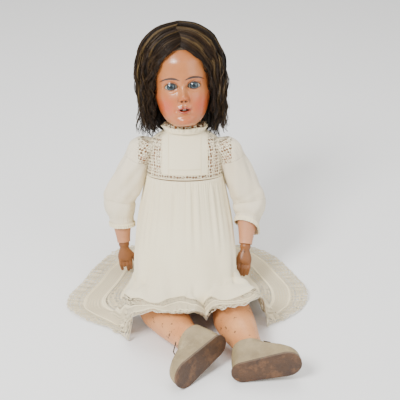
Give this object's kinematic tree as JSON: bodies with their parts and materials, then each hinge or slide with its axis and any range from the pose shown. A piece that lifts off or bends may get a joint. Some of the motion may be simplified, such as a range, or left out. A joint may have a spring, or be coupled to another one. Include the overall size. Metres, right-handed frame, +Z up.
{
  "type": "strung composition doll",
  "caption": "Seated ball-jointed composition doll with sleep eyes, mohair wig, cream lace-trimmed dress, petticoat and leather shoes, strung on elastic.",
  "frame": {"origin": "the middle of the flat under the seat, on the surface that the doll sits on", "axes": "+Z up, -Y the way the torso faces and the legs point, +X to the doll's own left"},
  "size_m": [0.4318, 0.4914, 0.4434],
  "materials": {
    "body_composition": "satin",
    "face_composition": "gloss",
    "arm_composition": "satin",
    "hand_composition": "satin",
    "leg_composition": "satin",
    "turned_wood": "matte",
    "pate_cork": "matte",
    "mohair": "satin",
    "wig_net": "matte",
    "dress_lawn": "matte",
    "petticoat_cotton": "matte",
    "elastic": "matte",
    "tie_cord": "matte",
    "iron_wire": "dull",
    "lead": "dull",
    "eye_glass": "gloss",
    "tooth_ceramic": "gloss",
    "shell_button": "gloss",
    "shoe_leather": "satin",
    "sole_leather": "matte"
  },
  "bodies": {
    "torso": {"torso_shell": "body_composition", "dress_yoke": "dress_lawn", "dress_collar": "dress_lawn", "dress_skirt": "dress_lawn", "petticoat": "petticoat_cotton", "back_buttons": "shell_button", "arm_elastic": "elastic", "right_leg_elastic": "elastic", "left_leg_elastic": "elastic"},
    "neck_fitting": {"neck_plug": "turned_wood", "neck_hook": "iron_wire"},
    "head": {"head_shell": "face_composition", "pate": "pate_cork", "wig_cap": "wig_net", "hair_crown": "mohair", "hair_back": "mohair", "hair_right": "mohair", "hair_left": "mohair", "teeth": "tooth_ceramic"},
    "eyes": {"eyeball_right": "eye_glass", "eyeball_left": "eye_glass", "eye_rocker": "iron_wire", "eye_weight": "lead"},
    "right_shoulder_ball": {"right_shoulder_ball": "turned_wood"},
    "right_upper_arm": {"right_upper_arm": "arm_composition", "right_sleeve": "dress_lawn"},
    "right_elbow_ball": {"right_elbow_ball": "turned_wood"},
    "right_forearm": {"right_forearm": "arm_composition", "right_cuff": "dress_lawn"},
    "right_hand": {"right_hand": "hand_composition", "right_hand_hook": "iron_wire"},
    "right_hip_ball": {"right_hip_ball": "turned_wood"},
    "right_thigh": {"right_thigh": "leg_composition"},
    "right_knee_ball": {"right_knee_ball": "turned_wood"},
    "right_lower_leg": {"right_lower_leg": "leg_composition", "right_leg_hook": "iron_wire", "right_shoe_upper": "shoe_leather", "right_shoe_sole": "sole_leather", "right_shoe_tie": "tie_cord"},
    "left_shoulder_ball": {"left_shoulder_ball": "turned_wood"},
    "left_upper_arm": {"left_upper_arm": "arm_composition", "left_sleeve": "dress_lawn"},
    "left_elbow_ball": {"left_elbow_ball": "turned_wood"},
    "left_forearm": {"left_forearm": "arm_composition", "left_cuff": "dress_lawn"},
    "left_hand": {"left_hand": "hand_composition", "left_hand_hook": "iron_wire"},
    "left_hip_ball": {"left_hip_ball": "turned_wood"},
    "left_thigh": {"left_thigh": "leg_composition"},
    "left_knee_ball": {"left_knee_ball": "turned_wood"},
    "left_lower_leg": {"left_lower_leg": "leg_composition", "left_leg_hook": "iron_wire", "left_shoe_upper": "shoe_leather", "left_shoe_sole": "sole_leather", "left_shoe_tie": "tie_cord"}
  },
  "joints": [
    {"name": "neck_turn", "type": "hinge", "parent": "torso", "child": "neck_fitting", "pos_m": [0, 0.05052, 0.27569], "axis": [0, 0.2079, 0.9781], "range_deg": [-50, 50], "deforming": ["hair_back", "hair_right", "hair_left", "dress_collar", "dress_yoke"]},
    {"name": "neck_nod", "type": "hinge", "parent": "neck_fitting", "child": "head", "pos_m": [0, 0.05052, 0.27569], "axis": [1, 0, 0], "range_deg": [-8, 8], "deforming": ["hair_back", "hair_right", "hair_left", "dress_collar", "dress_yoke"]},
    {"name": "eye_rock", "type": "hinge", "parent": "head", "child": "eyes", "pos_m": [-0.00341, 0.03445, 0.35474], "axis": [0.9961, 0.0679, 0.0568], "range_deg": [0, 70]},
    {"name": "right_shoulder_swing", "type": "hinge", "parent": "torso", "child": "right_shoulder_ball", "pos_m": [-0.074, 0.04221, 0.23656], "axis": [1, 0, 0], "range_deg": [-80, 20], "deforming": ["right_sleeve", "dress_yoke", "arm_elastic", "dress_skirt", "petticoat", "hair_right"]},
    {"name": "right_arm_spread", "type": "hinge", "parent": "right_shoulder_ball", "child": "right_upper_arm", "pos_m": [-0.074, 0.04221, 0.23656], "axis": [0, 0.9781, -0.2079], "range_deg": [0, 50], "deforming": ["right_sleeve", "dress_yoke", "arm_elastic", "dress_skirt", "petticoat", "hair_right"]},
    {"name": "right_elbow_turn", "type": "hinge", "parent": "right_upper_arm", "child": "right_elbow_ball", "pos_m": [-0.11497, 0.02881, 0.14412], "axis": [-0.4017, -0.1313, -0.9063], "range_deg": [-45, 45], "deforming": ["right_sleeve", "arm_elastic", "dress_skirt", "petticoat"]},
    {"name": "right_elbow_bend", "type": "hinge", "parent": "right_elbow_ball", "child": "right_forearm", "pos_m": [-0.11497, 0.02881, 0.14412], "axis": [-0.329, -0.9029, 0.2766], "range_deg": [-32, 6], "deforming": ["right_sleeve", "right_cuff", "arm_elastic", "dress_skirt", "petticoat"]},
    {"name": "right_wrist_turn", "type": "hinge", "parent": "right_forearm", "child": "right_hand", "pos_m": [-0.10826, 0.00324, 0.06862], "axis": [0.0839, -0.3197, -0.9438], "range_deg": [-90, 90], "deforming": ["dress_skirt", "petticoat"]},
    {"name": "left_shoulder_swing", "type": "hinge", "parent": "torso", "child": "left_shoulder_ball", "pos_m": [0.074, 0.04221, 0.23656], "axis": [1, 0, 0], "range_deg": [-80, 20], "deforming": ["left_sleeve", "dress_yoke", "arm_elastic", "dress_skirt", "petticoat", "hair_left"]},
    {"name": "left_arm_spread", "type": "hinge", "parent": "left_shoulder_ball", "child": "left_upper_arm", "pos_m": [0.074, 0.04221, 0.23656], "axis": [0, -0.9781, 0.2079], "range_deg": [0, 50], "deforming": ["left_sleeve", "dress_yoke", "arm_elastic", "dress_skirt", "petticoat", "hair_left"]},
    {"name": "left_elbow_turn", "type": "hinge", "parent": "left_upper_arm", "child": "left_elbow_ball", "pos_m": [0.11224, 0.0223, 0.14412], "axis": [0.3749, -0.1951, -0.9063], "range_deg": [-45, 45], "deforming": ["left_sleeve", "arm_elastic", "dress_skirt", "petticoat"]},
    {"name": "left_elbow_bend", "type": "hinge", "parent": "left_elbow_ball", "child": "left_forearm", "pos_m": [0.11224, 0.0223, 0.14412], "axis": [-0.6379, 0.6551, -0.4049], "range_deg": [-39, 2], "deforming": ["left_sleeve", "left_cuff", "arm_elastic", "dress_skirt", "petticoat"]},
    {"name": "left_wrist_turn", "type": "hinge", "parent": "left_forearm", "child": "left_hand", "pos_m": [0.10479, -0.0247, 0.07981], "axis": [-0.0931, -0.5875, -0.8039], "range_deg": [-90, 90], "deforming": ["dress_skirt", "petticoat"]},
    {"name": "right_hip_swing", "type": "hinge", "parent": "torso", "child": "right_hip_ball", "pos_m": [-0.0385, 0, 0.038], "axis": [1, 0, 0], "range_deg": [-8, 78], "deforming": ["dress_skirt", "petticoat", "right_leg_elastic"]},
    {"name": "right_thigh_spread", "type": "hinge", "parent": "right_hip_ball", "child": "right_thigh", "pos_m": [-0.0385, 0, 0.038], "axis": [0, 0, -1], "range_deg": [-3, 25], "deforming": ["dress_skirt", "petticoat", "right_leg_elastic"]},
    {"name": "right_knee_bend", "type": "hinge", "parent": "right_thigh", "child": "right_knee_ball", "pos_m": [-0.06273, -0.12465, 0.03601], "axis": [0, 0, 1], "range_deg": [-42, 2], "deforming": ["dress_skirt", "petticoat", "right_leg_elastic"]},
    {"name": "right_shin_turn", "type": "hinge", "parent": "right_knee_ball", "child": "right_lower_leg", "pos_m": [-0.06273, -0.12465, 0.03601], "axis": [0.5299, -0.848, 0], "range_deg": [-20, 20], "deforming": ["dress_skirt", "petticoat", "right_leg_elastic"]},
    {"name": "left_hip_swing", "type": "hinge", "parent": "torso", "child": "left_hip_ball", "pos_m": [0.0385, 0, 0.038], "axis": [1, 0, 0], "range_deg": [-8, 78], "deforming": ["dress_skirt", "petticoat", "left_leg_elastic"]},
    {"name": "left_thigh_spread", "type": "hinge", "parent": "left_hip_ball", "child": "left_thigh", "pos_m": [0.0385, 0, 0.038], "axis": [0, 0, 1], "range_deg": [-3, 5], "deforming": ["dress_skirt", "petticoat", "left_leg_elastic"]},
    {"name": "left_knee_bend", "type": "hinge", "parent": "left_thigh", "child": "left_knee_ball", "pos_m": [0.06922, -0.12321, 0.03601], "axis": [0.9681, 0.2504, 0], "range_deg": [0, 45], "deforming": ["dress_skirt", "petticoat", "left_leg_elastic"]},
    {"name": "left_shin_turn", "type": "hinge", "parent": "left_knee_ball", "child": "left_lower_leg", "pos_m": [0.06922, -0.12321, 0.03601], "axis": [0.25, -0.9668, -0.0523], "range_deg": [-20, 20], "deforming": ["dress_skirt", "petticoat", "left_leg_elastic"]}
  ]
}
